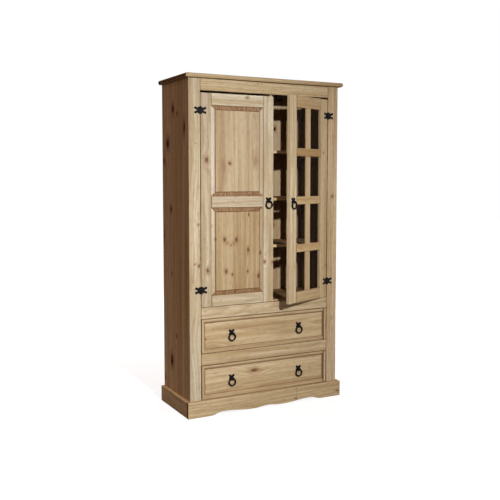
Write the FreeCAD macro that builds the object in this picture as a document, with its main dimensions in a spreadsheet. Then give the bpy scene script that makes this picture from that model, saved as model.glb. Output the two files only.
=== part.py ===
import FreeCAD, Part
import math
import operator
import os
from types import SimpleNamespace

import Sketcher
from FreeCAD import Vector

# Driving sizes of the cabinet: millimetres, and degrees for angles
SIZES = {
    # whole carcass
    "overall_height": 1850,
    "carcass_width": 944,
    "carcass_depth": 382,
    "side_thickness": 18,
    "frame_thickness": 22,
    "stile_width": 66,
    "rail_height": 63,
    "drawer_opening": 192,
    "board_easing": 1.5,
    # top board
    "top_thickness": 24,
    "top_overhang": 22,
    "top_edge_radius": 10,
    # plinth and the scalloped edge of its front board
    "plinth_height": 88,
    "plinth_thickness": 20,
    "plinth_edge_radius": 4,
    "foot_length": 130,
    "arch_reach": 80,
    "arch_rise": 16,
    "pendant_spread": 178,
    "pendant_height": 3.5,
    "centre_rise": 11,
    # back boards, floor and shelves
    "back_thickness": 9,
    "back_board_width": 101,
    "back_groove": 2,
    "floor_thickness": 18,
    "floor_step": 8,
    "base_thickness": 12,
    "shelf_thickness": 17,
    "shelf_setback": 24,
    "shelf_clearance": 1,
    "shelf_lift": 5,
    "batten_width": 18,
    "batten_height": 20,
    "batten_setback": 20,
    # doors
    "door_thickness": 20,
    "door_side_gap": 3,
    "door_bottom_gap": 2,
    "door_top_gap": 11,
    "meeting_gap": 3,
    "left_door_width": 445,
    "door_stile_width": 62,
    "door_top_rail": 63,
    "door_middle_rail": 60,
    "door_bottom_rail": 60,
    "middle_rail_drop": 6,
    # raised panels of the left door, depths counted from the door's face
    "tongue_depth": 7,
    "tongue_thickness": 6,
    "groove_clearance": 0.3,
    "bevel_width": 24,
    "bevel_back": 9,
    "bevel_front": 4,
    "field_front": 1.5,
    # strip along the closing edge of the left door
    "edge_strip_width": 13,
    "edge_strip_thickness": 12,
    "edge_strip_clearance": 1,
    # glazing of the right door, depths counted from the door's face
    "ajar_angle": 22,
    "bar_width": 43,
    "cross_bar_depth": 9,
    "upright_bar_front": 6,
    "rebate_front": 13,
    "rebate_width": 8,
    "glass_thickness": 3,
    "glass_clearance": 0.5,
    # drawers and what they run on
    "drawer_gap": 3,
    "drawer_side_gap": 4.5,
    "drawer_front_thickness": 20,
    "drawer_recess": 9,
    "bead_rim": 12,
    "bead_bevel": 9,
    "box_side_gap": 6,
    "box_board": 12,
    "box_height": 140,
    "box_back_gap": 28,
    "box_bottom_thickness": 6,
    "box_bottom_lift": 8,
    "runner_thickness": 16,
    "runner_ledge": 10,
    "guide_height": 30,
    "guide_gap": 1.5,
    # hinges
    "hinge_inset": 94,
    "hinge_axis_offset": 4.6,
    "knuckle_radius": 4,
    "knuckle_length": 36,
    "knuckle_gap": 0.4,
    "pin_radius": 1.95,
    "pin_clearance": 0.05,
    "pin_head_radius": 3,
    "pin_head_height": 2.5,
    "leaf_thickness": 2.4,
    "leaf_clearance": 4.8,
    "rosette_radius": 20.5,
    "rosette_boss_radius": 14,
    "rosette_boss_rise": 1.2,
    "leaf_arm_reach": 28.5,
    "leaf_arm_rise": 12,
    "leaf_arm_width": 12,
    "leaf_lobe_radius": 6.8,
    "screw_head_radius": 2.6,
    "screw_head_height": 1.2,
    # ring pulls
    "pull_height": 1176,
    "drawer_pull_spread": 434,
    "drawer_pull_rise": 8,
    "plate_thickness": 2.5,
    "plate_lobe_reach": 10.5,
    "plate_lobe_rise": 9,
    "plate_lobe_radius": 7,
    "plate_arm_width": 13,
    "plate_boss_radius": 11,
    "plate_boss_rise": 1,
    "pivot_offset": 10.5,
    "pivot_drop": 7.5,
    "eye_wall": 2.4,
    "eye_width": 7,
    "ring_radius": 19,
    "ring_wire": 4.2,
    "ring_clearance": 0.7,
    # door catches
    "catch_length": 40,
    "catch_depth": 12,
    "catch_height": 55,
    "catch_below_rail": 30,
    "catch_from_edge": 30,
    "strike_length": 30,
    "strike_height": 15,
    "strike_thickness": 1.5,
    "strike_drop": 6,
}

doc = FreeCAD.newDocument("display_cabinet")
sheet = doc.addObject("Spreadsheet::Sheet", "Sizes")
for row, (name, number) in enumerate(SIZES.items(), start=1):
    sheet.set(f"A{row}", name)
    sheet.set(f"B{row}", str(number))
    sheet.setAlias(f"B{row}", name)
doc.recompute()

OPERATORS = {"+": operator.add, "-": operator.sub, "*": operator.mul, "/": operator.truediv}


class Dim:
    """A size worked out from the sheet: its number, and the formula that binds it to the cells."""

    def __init__(self, number, formula):
        self.number = float(number)
        self.formula = formula

    def __add__(self, other):
        return combine(self, "+", other)

    def __sub__(self, other):
        return combine(self, "-", other)

    def __mul__(self, other):
        return combine(self, "*", other)

    def __truediv__(self, other):
        return combine(self, "/", other)

    def __neg__(self):
        return combine(0, "-", self)


def combine(left, sign, right):
    """Join two sizes, or a size and a plain number, by one sign of arithmetic."""
    pair = [item if isinstance(item, Dim) else Dim(item, str(item)) for item in (left, right)]
    number = OPERATORS[sign](pair[0].number, pair[1].number)
    return Dim(number, f"({pair[0].formula} {sign} {pair[1].formula})")


s = SimpleNamespace(**{name: Dim(sheet.get(name), f"Sizes.{name}") for name in SIZES})
nodes = []


def bind(item, **sizes):
    """Tie an object's properties to the sheet."""
    for prop, dim in sizes.items():
        item.setExpression(prop, dim.formula)


def box(name, x, y, z):
    """Plain board between two corners, each given as low and high sizes along X, Y and Z."""
    item = doc.addObject("Part::Box", name)
    bind(item, Length=x[1] - x[0], Width=y[1] - y[0], Height=z[1] - z[0])
    for letter, low in zip("xyz", (x[0], y[0], z[0])):
        item.setExpression(f"Placement.Base.{letter}", low.formula)
    doc.recompute()
    return item


SIDES = {
    "left": ("XMax", "XMin"), "right": ("XMin", "XMax"),
    "front": ("YMax", "YMin"), "back": ("YMin", "YMax"),
    "bottom": ("ZMax", "ZMin"), "top": ("ZMin", "ZMax"),
}
TOUCH = 1e-4


def edges_on(shape, *sides):
    """Numbers, from 1, of the edges that lie on every named side of a shape's box."""
    found = []
    for number, edge in enumerate(shape.Edges, start=1):
        flush = True
        for near, limit in (SIDES[side] for side in sides):
            reach = getattr(edge.BoundBox, near) - getattr(shape.BoundBox, limit)
            flush = flush and abs(reach) < TOUCH
        if flush:
            found.append(number)
    return found


def rounded(name, blank, numbers, radius):
    """Round some edges of an object."""
    item = doc.addObject("Part::Fillet", name)
    item.Base = blank
    item.Edges = [(number, radius.number, radius.number) for number in numbers]
    doc.recompute()
    return item


def eased(name, x, y, z, side="front"):
    """Board whose edges around one side are eased, as a plane leaves them."""
    blank = box(f"{name}_blank", x, y, z)
    return rounded(name, blank, edges_on(blank.Shape, side), s.board_easing)


def cut(name, base, tool):
    item = doc.addObject("Part::Cut", name)
    item.Base = base
    item.Tool = tool
    return item


def fused(name, pieces):
    item = doc.addObject("Part::MultiFuse", name)
    item.Shapes = pieces
    return item


def group(name, pieces):
    """Separate solids that share one node."""
    item = doc.addObject("Part::Compound", name)
    item.Links = pieces
    return item


def solid(name, shape):
    item = doc.addObject("Part::Feature", name)
    item.Shape = shape
    return item


def keep(item, ajar=False):
    """Hand an object in as a node; on the right door it is also turned to where the door stands."""
    if ajar:
        axis = f"vector({hinge_x.formula}; {hinge_y.formula}; 0)"
        turn = f"rotation(vector(0; 0; 1); {s.ajar_angle.formula})"
        item.setExpression("Placement", f"placement(vector(0; 0; 0); {turn}; {axis})")
    nodes.append(item)
    return item


# Planes that the pieces share: the back lies on Y = 0, the floor on Z = 0, the front faces -Y
zero = Dim(0, "0")
front = -s.carcass_depth
frame_back = front + s.frame_thickness
back_inside = -s.back_thickness
side_x = s.carcass_width / 2
inside_x = side_x - s.side_thickness
open_x = side_x - s.stile_width
carcass_top = s.overall_height - s.top_thickness
opening_top = carcass_top - s.rail_height
lower_opening = (s.plinth_height, s.plinth_height + s.drawer_opening)
divider_top = lower_opening[1] + s.rail_height
upper_opening = (divider_top, divider_top + s.drawer_opening)
middle_rail_top = upper_opening[1] + s.rail_height
floor_top = middle_rail_top + s.floor_step
door_z = (middle_rail_top + s.door_bottom_gap, opening_top - s.door_top_gap)
left_door_x = (s.door_side_gap - open_x, s.door_side_gap - open_x + s.left_door_width)
right_door_x = (left_door_x[1] + s.meeting_gap, open_x - s.door_side_gap)
hinge_x = open_x - s.door_side_gap / 2
hinge_y = front - s.hinge_axis_offset
hinge_heights = (door_z[0] + s.hinge_inset, door_z[1] - s.hinge_inset)


def mirrored(x, sign):
    """The same span on the right (1) or on the left (-1) of the cabinet."""
    return x if sign > 0 else (-x[1], -x[0])


HANDS = {"left": -1, "right": 1}


def top_board():
    """Overhanging top, flush at the back, with its front and side edges rounded over."""
    reach = side_x + s.top_overhang
    body = doc.addObject("PartDesign::Body", "top_board")
    outline = body.newObject("Sketcher::SketchObject", "top_outline")
    plane = next(item for item in body.Origin.OriginFeatures if item.Role == "XY_Plane")
    outline.AttachmentSupport = [(plane, "")]
    outline.MapMode = "FlatFace"
    lip = front - s.top_overhang
    corners = [
        Vector(-reach.number, lip.number, 0), Vector(reach.number, lip.number, 0),
        Vector(reach.number, 0, 0), Vector(-reach.number, 0, 0),
    ]
    for start, end in zip(corners, corners[1:] + corners[:1]):
        outline.addGeometry(Part.LineSegment(start, end), False)
    for line in range(4):
        outline.addConstraint(Sketcher.Constraint("Coincident", line, 2, (line + 1) % 4, 1))
        outline.addConstraint(Sketcher.Constraint("Vertical" if line % 2 else "Horizontal", line))
    driven = {
        "left_reach": ("DistanceX", 0, 1, -reach), "right_reach": ("DistanceX", 0, 2, reach),
        "front_lip": ("DistanceY", 0, 1, lip), "back_edge": ("DistanceY", 2, 1, zero),
    }
    origin_point = (-1, 1)
    for label, (kind, line, end, dim) in driven.items():
        index = outline.addConstraint(Sketcher.Constraint(kind, *origin_point, line, end, dim.number))
        outline.renameConstraint(index, label)
        outline.setExpression(f"Constraints.{label}", dim.formula)
    pad = body.newObject("PartDesign::Pad", "top_pad")
    pad.Profile = outline
    bind(pad, Length=s.top_thickness)
    doc.recompute()
    edges = set()
    for face in ("top", "bottom"):
        for side in ("front", "left", "right"):
            edges.update(edges_on(pad.Shape, face, side))
    edge = body.newObject("PartDesign::Fillet", "top_edge")
    edge.Base = (pad, [f"Edge{number}" for number in sorted(edges)])
    bind(edge, Radius=s.top_edge_radius)
    body.setExpression("Placement.Base.z", carcass_top.formula)
    keep(body)


def carcass_boards():
    """Side panels, face frame, floor and base of the carcass."""
    whole = (zero, carcass_top)
    frame_y = (front, frame_back)
    across = (-open_x, open_x)
    inside = (-inside_x, inside_x)
    for hand, sign in HANDS.items():
        panel = (inside_x, side_x)
        keep(box(f"{hand}_side_panel", mirrored(panel, sign), (frame_back, zero), whole))
        stile = (open_x, side_x)
        keep(eased(f"{hand}_front_stile", mirrored(stile, sign), frame_y, whole))
    rails = {
        "top_front_rail": opening_top,
        "middle_front_rail": upper_opening[1],
        "drawer_divider_rail": lower_opening[1],
        "bottom_front_rail": s.plinth_height - s.rail_height,
    }
    for label, low in rails.items():
        keep(eased(label, across, frame_y, (low, low + s.rail_height)))
    floor_z = (floor_top - s.floor_thickness, floor_top)
    keep(eased("cupboard_floor", inside, (frame_back, back_inside), floor_z))
    base_top = s.plinth_height + s.drawer_gap - s.runner_thickness
    base_y = (frame_back, -s.plinth_thickness)
    keep(box("base_panel", inside, base_y, (base_top - s.base_thickness, base_top)))


def ogee(start, end):
    """Two equal arcs from one point to another, level at both ends."""
    run = end - start
    half = Vector(run.x / 2, 0, run.z / 2)
    radius = (run.x ** 2 + run.z ** 2) / (4 * abs(run.z))
    angle = math.asin(abs(half.x) / radius) / 2
    bulge = Vector(math.copysign(radius * math.sin(angle), run.x), 0,
                   math.copysign(radius * (1 - math.cos(angle)), run.z))
    middle = start + half
    return [Part.Arc(start, start + bulge, middle).toShape(), Part.Arc(middle, end - bulge, end).toShape()]


def front_plinth():
    """Front board of the plinth: two feet, two arches, two pendants and a small arch in the middle."""
    end = (side_x + s.plinth_thickness).number
    face = (front - s.plinth_thickness).number
    height = s.plinth_height.number
    foot = end - s.foot_length.number
    crown = foot - s.arch_reach.number
    pendant = s.pendant_spread.number / 2
    half = [(-end, 0), (-foot, 0), (-crown, s.arch_rise.number), (-pendant, s.pendant_height.number)]
    lower = half + [(0, s.centre_rise.number)] + [(-x, z) for x, z in reversed(half)]
    points = [Vector(x, face, z) for x, z in lower]
    edges = []
    for start, stop in zip(points, points[1:]):
        level = abs(start.z - stop.z) < TOUCH
        edges += [Part.makeLine(start, stop)] if level else ogee(start, stop)
    corners = [points[-1], Vector(end, face, height), Vector(-end, face, height), points[0]]
    edges += [Part.makeLine(start, stop) for start, stop in zip(corners, corners[1:])]
    board = Part.Face(Part.Wire(edges)).extrude(Vector(0, s.plinth_thickness.number, 0))
    numbers = set()
    for side in ("front", "left", "right"):
        numbers.update(edges_on(board, "top", side))
    top_edges = [board.Edges[number - 1] for number in sorted(numbers)]
    keep(solid("front_plinth", board.makeFillet(s.plinth_edge_radius.number, top_edges)))


def other_plinths():
    """Side boards behind the ends of the front board, and a plain board across the back."""
    height = (zero, s.plinth_height)
    for hand, sign in HANDS.items():
        across = mirrored((side_x, side_x + s.plinth_thickness), sign)
        blank = box(f"{hand}_plinth_blank", across, (front, zero), height)
        keep(rounded(f"{hand}_plinth", blank, edges_on(blank.Shape, "top", hand), s.plinth_edge_radius))
    keep(box("rear_plinth", (-inside_x, inside_x), (-s.plinth_thickness, zero), height))


def back_boards():
    """Vertical boards side by side, with a V at each joint on both faces."""
    width = inside_x * 2
    count = max(1, round(width.number / s.back_board_width.number))
    boards = []
    for index in range(count):
        across = (width * index / count - inside_x, width * (index + 1) / count - inside_x)
        blank = box(f"back_board_{index + 1}_blank", across, (back_inside, zero), (s.plinth_height, carcass_top))
        edges = []
        for face in ("front", "back"):
            for side in HANDS:
                edges += edges_on(blank.Shape, face, side)
        board = doc.addObject("Part::Chamfer", f"back_board_{index + 1}")
        board.Base = blank
        board.Edges = [(number, s.back_groove.number, s.back_groove.number) for number in edges]
        boards.append(board)
    keep(group("back_boards", boards))


def shelves_and_battens():
    """Three shelves behind the cross bars of the glazed door, each on a batten at either end."""
    reach = inside_x - s.shelf_clearance
    depth = (frame_back + s.shelf_setback, back_inside - s.shelf_clearance)
    batten_y = (depth[0] + s.batten_setback, back_inside)
    shelves = []
    battens = []
    for level, (low, high) in enumerate(cross_bar_heights(), start=1):
        bottom = (low + high) / 2 + s.shelf_lift - s.shelf_thickness / 2
        shelves.append(eased(f"shelf_{level}", (-reach, reach), depth, (bottom, bottom + s.shelf_thickness)))
        for hand, sign in HANDS.items():
            across = mirrored((inside_x - s.batten_width, inside_x), sign)
            battens.append(box(f"batten_{hand}_{level}", across, batten_y, (bottom - s.batten_height, bottom)))
    keep(group("shelves", shelves))
    keep(group("shelf_battens", battens))


def left_door():
    """Solid door: a grooved frame around two raised panels."""
    face_y = (front, front + s.door_thickness)
    middle = (door_z[0] + door_z[1]) / 2 - s.middle_rail_drop
    rails = {
        "bottom_rail": (door_z[0], door_z[0] + s.door_bottom_rail),
        "middle_rail": (middle - s.door_middle_rail / 2, middle + s.door_middle_rail / 2),
        "top_rail": (door_z[1] - s.door_top_rail, door_z[1]),
    }
    hinge_side = (left_door_x[0], left_door_x[0] + s.door_stile_width)
    closing_side = (left_door_x[1] - s.door_stile_width, left_door_x[1])
    across = (hinge_side[1], closing_side[0])
    members = {"hinge_stile": (hinge_side, door_z), "closing_stile": (closing_side, door_z)}
    members.update({label: (across, height) for label, height in rails.items()})
    fields = {
        "lower": (rails["bottom_rail"][1], rails["middle_rail"][0]),
        "upper": (rails["middle_rail"][1], rails["top_rail"][0]),
    }
    groove_tools = [panel_slab(f"{label}_groove", across, height, s.groove_clearance)
                    for label, height in fields.items()]
    grooves = group("panel_grooves", groove_tools)
    for label, (x, z) in members.items():
        blank = eased(f"left_door_{label}_board", x, face_y, z)
        keep(cut(f"left_door_{label}", blank, grooves))
    for label, height in fields.items():
        keep(raised_panel(f"left_door_{label}_panel", across, height))
    strip_x = (left_door_x[1] - s.edge_strip_width, left_door_x[1])
    strip_y = (face_y[1], face_y[1] + s.edge_strip_thickness)
    strip_z = (floor_top + s.edge_strip_clearance, opening_top - s.edge_strip_clearance)
    keep(eased("left_door_edge_strip", strip_x, strip_y, strip_z, "back"))


def panel_slab(name, x, z, clearance):
    """The panel's edge that sits in the frame's groove, or the groove, which is a clearance larger."""
    reach = s.tongue_depth + clearance
    depth = (front + s.bevel_back - clearance, front + s.bevel_back + s.tongue_thickness + clearance)
    return box(name, (x[0] - reach, x[1] + reach), depth, (z[0] - reach, z[1] + reach))


def raised_panel(name, x, z):
    """Panel with a flat field, a small step down around it, and a bevel that falls to the frame."""
    slab = panel_slab(f"{name}_slab", x, z, zero)
    inset = s.bevel_width
    field = box(f"{name}_field", (x[0] + inset, x[1] - inset),
                (front + s.field_front, front + s.bevel_back), (z[0] + inset, z[1] - inset))
    bevel = doc.addObject("Part::Wedge", f"{name}_bevel")
    bind(bevel, Xmin=x[0] + inset, Xmax=x[1] - inset, Zmin=z[0] + inset, Zmax=z[1] - inset,
         X2min=x[0] + s.groove_clearance, X2max=x[1] - s.groove_clearance,
         Z2min=z[0] + s.groove_clearance, Z2max=z[1] - s.groove_clearance,
         Ymin=front + s.bevel_front, Ymax=front + s.bevel_back)
    return fused(name, [slab, bevel, field])


def glazed_opening():
    """Span of the glazed opening in the right door along X and Z, with the door shut."""
    x = (right_door_x[0] + s.door_stile_width, right_door_x[1] - s.door_stile_width)
    z = (door_z[0] + s.door_bottom_rail, door_z[1] - s.door_top_rail)
    return x, z


BAR_COUNT = 3


def cross_bar_heights():
    """Low and high edge of each cross bar, which part the opening into equal rows."""
    x, z = glazed_opening()
    row = (z[1] - z[0] - s.bar_width * BAR_COUNT) / (BAR_COUNT + 1)
    lows = [z[0] + row * (index + 1) + s.bar_width * index for index in range(BAR_COUNT)]
    return [(low, low + s.bar_width) for low in lows]


def right_door():
    """Glazed door: rebated frame, cross bars over an upright bar, one sheet of glass held by beads."""
    x, z = glazed_opening()
    face_y = (front, front + s.door_thickness)
    members = {
        "hinge_stile": ((x[1], right_door_x[1]), door_z),
        "closing_stile": ((right_door_x[0], x[0]), door_z),
        "top_rail": (x, (z[1], door_z[1])),
        "bottom_rail": (x, (door_z[0], z[0])),
    }
    rebate_x = (x[0] - s.rebate_width, x[1] + s.rebate_width)
    rebate_z = (z[0] - s.rebate_width, z[1] + s.rebate_width)
    rebate = box("glass_rebate", rebate_x, (front + s.rebate_front, face_y[1]), rebate_z)
    for label, (across, height) in members.items():
        blank = eased(f"right_door_{label}_board", across, face_y, height)
        keep(cut(f"right_door_{label}", blank, rebate), ajar=True)

    bar_y = (front, front + s.cross_bar_depth)
    bars = [eased(f"cross_bar_{level}", x, bar_y, height)
            for level, height in enumerate(cross_bar_heights(), start=1)]
    keep(group("right_door_cross_bars", bars), ajar=True)
    middle = (x[0] + x[1]) / 2
    upright_x = (middle - s.bar_width / 2, middle + s.bar_width / 2)
    upright_y = (front + s.upright_bar_front, front + s.rebate_front)
    upright = eased("upright_bar_board", upright_x, upright_y, z)
    notches = [box(f"upright_notch_{level}", x, bar_y, height)
               for level, height in enumerate(cross_bar_heights(), start=1)]
    keep(cut("right_door_upright_bar", upright, group("upright_notches", notches)), ajar=True)

    glass_y = (front + s.rebate_front, front + s.rebate_front + s.glass_thickness)
    glass_x = (rebate_x[0] + s.glass_clearance, rebate_x[1] - s.glass_clearance)
    glass_z = (rebate_z[0] + s.glass_clearance, rebate_z[1] - s.glass_clearance)
    glass = box("glass_sheet", glass_x, glass_y, glass_z)
    keep(group("right_door_glass", [glass]), ajar=True)
    bead_y = (glass_y[1], face_y[1])
    beads = [
        box("bead_left", (rebate_x[0], x[0]), bead_y, rebate_z),
        box("bead_right", (x[1], rebate_x[1]), bead_y, rebate_z),
        box("bead_bottom", x, bead_y, (rebate_z[0], z[0])),
        box("bead_top", x, bead_y, (z[1], rebate_z[1])),
    ]
    keep(group("right_door_glass_beads", beads), ajar=True)


def block_between(near, far):
    """Solid with a four-cornered face at each end and straight edges between them."""
    quads = [near, far]
    for corner in range(4):
        after = (corner + 1) % 4
        quads.append([near[corner], near[after], far[after], far[corner]])
    faces = [Part.Face(Part.makePolygon(quad + quad[:1])) for quad in quads]
    block = Part.makeSolid(Part.makeShell(faces))
    if block.Volume < 0:
        block.reverse()
    return block


def rectangle(x, y, z, inset):
    """Corners of an upright rectangle drawn in by an inset."""
    low_x, high_x = x[0].number + inset, x[1].number - inset
    low_z, high_z = z[0].number + inset, z[1].number - inset
    return [Vector(low_x, y, low_z), Vector(high_x, y, low_z), Vector(high_x, y, high_z), Vector(low_x, y, high_z)]


def drawer(label, opening):
    """Drawer: front board, four mitred beads around it, and a plain box behind."""
    x = (s.drawer_side_gap - open_x, open_x - s.drawer_side_gap)
    z = (opening[0] + s.drawer_gap, opening[1] - s.drawer_gap)
    field_y = front + s.drawer_recess
    front_back = front + s.drawer_front_thickness
    keep(box(f"{label}_drawer_front", x, (field_y, front_back), z))

    outer = [rectangle(x, y.number, z, 0) for y in (front, field_y)]
    rim = s.bead_rim.number
    inner = [rectangle(x, front.number, z, rim), rectangle(x, field_y.number, z, rim + s.bead_bevel.number)]
    beads = []
    for corner in range(4):
        after = (corner + 1) % 4
        ends = [[outer[k][corner], outer[k][after], inner[k][after], inner[k][corner]] for k in range(2)]
        beads.append(solid(f"{label}_bead_{corner + 1}", block_between(*ends)))
    keep(group(f"{label}_drawer_bead", beads))

    outside = open_x - s.box_side_gap
    inside = outside - s.box_board
    box_y = (front_back, back_inside - s.box_back_gap)
    box_z = (z[0], z[0] + s.box_height)
    back_y = box_y[1] - s.box_board
    bottom_z = (z[0] + s.box_bottom_lift, z[0] + s.box_bottom_lift + s.box_bottom_thickness)
    boards = [box(f"{label}_{hand}_box_side", mirrored((inside, outside), sign), box_y, box_z)
              for hand, sign in HANDS.items()]
    boards.append(box(f"{label}_box_back", (-inside, inside), (back_y, box_y[1]), box_z))
    boards.append(box(f"{label}_box_bottom", (-inside, inside), (front_back, back_y), bottom_z))
    keep(group(f"{label}_drawer_box", boards))


def drawer_runners():
    """A ledge under each drawer side, with a guide beside it."""
    box_side = open_x - s.box_side_gap
    depth = (frame_back, -s.plinth_thickness)
    ledge_x = (box_side - s.box_board - s.runner_ledge, inside_x)
    guide_x = (box_side + s.guide_gap, inside_x)
    pieces = []
    for label, opening in (("lower", lower_opening), ("upper", upper_opening)):
        top = opening[0] + s.drawer_gap
        for hand, sign in HANDS.items():
            name = f"{label}_{hand}"
            ledge_z = (top - s.runner_thickness, top)
            pieces.append(box(f"{name}_ledge", mirrored(ledge_x, sign), depth, ledge_z))
            pieces.append(box(f"{name}_guide", mirrored(guide_x, sign), depth, (top, top + s.guide_height)))
    keep(group("drawer_runners", pieces))


def slab_disc(x, z, radius, face, depth):
    """Round plate that stands off a surface at Y = face, towards the front."""
    return Part.makeCylinder(radius, depth, Vector(x, face - depth, z), Vector(0, 1, 0))


def slab_arm(x, z, width, face, depth):
    """Flat arm from the middle of a plate to a point on it."""
    length = math.hypot(x, z)
    arm = Part.makeBox(length, depth, width, Vector(0, face - depth, -width / 2))
    arm.rotate(Vector(0, 0, 0), Vector(0, 1, 0), -math.degrees(math.atan2(z, x)))
    return arm


def hinge_leaf(side, spans):
    """Leaf about its pin on one side (1 or -1): half a rosette, two arms with round ends, knuckles."""
    face = s.hinge_axis_offset.number
    plate = s.leaf_thickness.number
    clear = s.leaf_clearance.number
    reach = side * s.leaf_arm_reach.number
    pieces = [slab_disc(0, 0, s.rosette_radius.number, face, plate)]
    boss_depth = plate + s.rosette_boss_rise.number
    pieces.append(slab_disc(0, 0, s.rosette_boss_radius.number, face, boss_depth))
    for rise in (-s.leaf_arm_rise.number, s.leaf_arm_rise.number):
        pieces.append(slab_arm(reach, rise, s.leaf_arm_width.number, face, plate))
        pieces.append(slab_disc(reach, rise, s.leaf_lobe_radius.number, face, plate))
    flat = pieces[0].multiFuse(pieces[1:])
    room = 2 * (abs(reach) + s.rosette_radius.number)
    low_x = clear if side > 0 else -clear - room
    flat = flat.common(Part.makeBox(room, room, room, Vector(low_x, -room / 2, -room / 2)))
    knuckles = []
    bridge = clear + plate
    bridge_depth = plate - s.pin_clearance.number - s.knuckle_gap.number
    for low, high in spans:
        barrel = Part.makeCylinder(s.knuckle_radius.number, high - low, Vector(0, 0, low))
        start_x = 0 if side > 0 else -bridge
        web = Part.makeBox(bridge, bridge_depth, high - low, Vector(start_x, face - plate, low))
        knuckles += [barrel, web]
    leaf = flat.multiFuse(knuckles).removeSplitter()
    bore = s.pin_radius.number + s.pin_clearance.number
    length = s.knuckle_length.number
    return leaf.cut(Part.makeCylinder(bore, 2 * length, Vector(0, 0, -length)))


def screw_heads(side):
    """Round heads of the screws in a leaf's two lobes."""
    face = s.hinge_axis_offset.number - s.leaf_thickness.number
    x = side * s.leaf_arm_reach.number
    heads = []
    for z in (-s.leaf_arm_rise.number, s.leaf_arm_rise.number):
        heads.append(slab_disc(x, z, s.screw_head_radius.number, face, s.screw_head_height.number))
    return heads


def hinge_pin():
    """Pin through the knuckles with a round head at each end."""
    half = s.knuckle_length.number / 2
    head = s.pin_head_height.number
    shank = Part.makeCylinder(s.pin_radius.number, 2 * half, Vector(0, 0, -half))
    ends = [Part.makeCylinder(s.pin_head_radius.number, head, Vector(0, 0, z)) for z in (half, -half - head)]
    return shank.multiFuse(ends)


def hinges():
    """Two hinges to a door: the frame's leaf holds the outer knuckles, the door's leaf the middle one."""
    half = s.knuckle_length.number / 2
    middle = half / 3
    gap = s.knuckle_gap.number
    outer_spans = [(-half, -middle - gap), (middle + gap, half)]
    frame_leaves = []
    pins = []
    for hand, sign in HANDS.items():
        door_leaves = []
        for level, height in enumerate(hinge_heights, start=1):
            spot = Vector(sign * hinge_x.number, hinge_y.number, height.number)
            name = f"{hand}_hinge_{level}"
            leaf = hinge_leaf(sign, outer_spans).translated(spot)
            frame_leaves.append(solid(f"{name}_frame_leaf", leaf))
            leaf = hinge_leaf(-sign, [(-middle, middle)]).translated(spot)
            door_leaves.append(solid(f"{name}_door_leaf", leaf))
            for side, leaves in ((sign, frame_leaves), (-sign, door_leaves)):
                leaves += [solid(f"{name}_screw_head", head.translated(spot)) for head in screw_heads(side)]
            pins.append(solid(f"{name}_pin", hinge_pin().translated(spot)))
        keep(group(f"{hand}_door_hinge_leaves", door_leaves), ajar=hand == "right")
    keep(group("frame_hinge_leaves", frame_leaves))
    keep(group("hinge_pins", pins))


def pull_plate():
    """Four-lobed plate on a surface at Y = 0, with an eye that stands out of it for the ring."""
    depth = s.plate_thickness.number
    lobe_x, lobe_z = s.plate_lobe_reach.number, s.plate_lobe_rise.number
    pieces = [slab_disc(0, 0, s.plate_boss_radius.number, 0, depth + s.plate_boss_rise.number)]
    for x, z in ((lobe_x, lobe_z), (-lobe_x, lobe_z), (-lobe_x, -lobe_z), (lobe_x, -lobe_z)):
        pieces.append(slab_arm(x, z, s.plate_arm_width.number, 0, depth))
        pieces.append(slab_disc(x, z, s.plate_lobe_radius.number, 0, depth))
    bore = s.ring_wire.number + s.ring_clearance.number
    outside = bore + s.eye_wall.number
    width = s.eye_width.number
    pivot = Vector(-width / 2, -s.pivot_offset.number, -s.pivot_drop.number)
    along = Vector(1, 0, 0)
    pieces.append(Part.makeCylinder(outside, width, pivot, along))
    neck_low = Vector(-width / 2, -s.pivot_offset.number, -s.pivot_drop.number - bore)
    pieces.append(Part.makeBox(width, s.pivot_offset.number, 2 * bore, neck_low))
    plate = pieces[0].multiFuse(pieces[1:]).removeSplitter()
    return plate.cut(Part.makeCylinder(bore, width, pivot, along))


def ring(name, x, surface, z):
    """Ring that hangs through the eye of a plate centred at x and z on a surface."""
    item = doc.addObject("Part::Torus", name)
    bind(item, Radius1=s.ring_radius, Radius2=s.ring_wire)
    middle = (x, surface - s.pivot_offset, z - s.pivot_drop - s.ring_radius)
    spot = "; ".join(dim.formula for dim in middle)
    item.setExpression("Placement", f"placement(vector({spot}); rotation(vector(1; 0; 0); 90))")
    return item


def pulls():
    """Plates and rings: one on each door's closing stile, two on each drawer."""
    edge = s.door_stile_width / 2
    spots = {"left": left_door_x[1] - edge, "right": right_door_x[0] + edge}
    for hand, x in spots.items():
        ajar = hand == "right"
        spot = Vector(x.number, front.number, s.pull_height.number)
        plate = solid(f"{hand}_door_plate", pull_plate().translated(spot))
        keep(group(f"{hand}_door_pull_plate", [plate]), ajar)
        loop = ring(f"{hand}_door_ring_loop", x, front, s.pull_height)
        keep(group(f"{hand}_door_ring", [loop]), ajar)
    field_y = front + s.drawer_recess
    for label, opening in (("lower", lower_opening), ("upper", upper_opening)):
        height = (opening[0] + opening[1]) / 2 + s.drawer_pull_rise
        plates = []
        for hand, sign in HANDS.items():
            x = s.drawer_pull_spread / 2 * sign
            spot = Vector(x.number, field_y.number, height.number)
            plates.append(solid(f"{label}_{hand}_plate", pull_plate().translated(spot)))
            loop = ring(f"{label}_drawer_{hand}_ring_loop", x, field_y, height)
            keep(group(f"{label}_drawer_{hand}_ring", [loop]))
        keep(group(f"{label}_drawer_pull_plates", plates))


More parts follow.
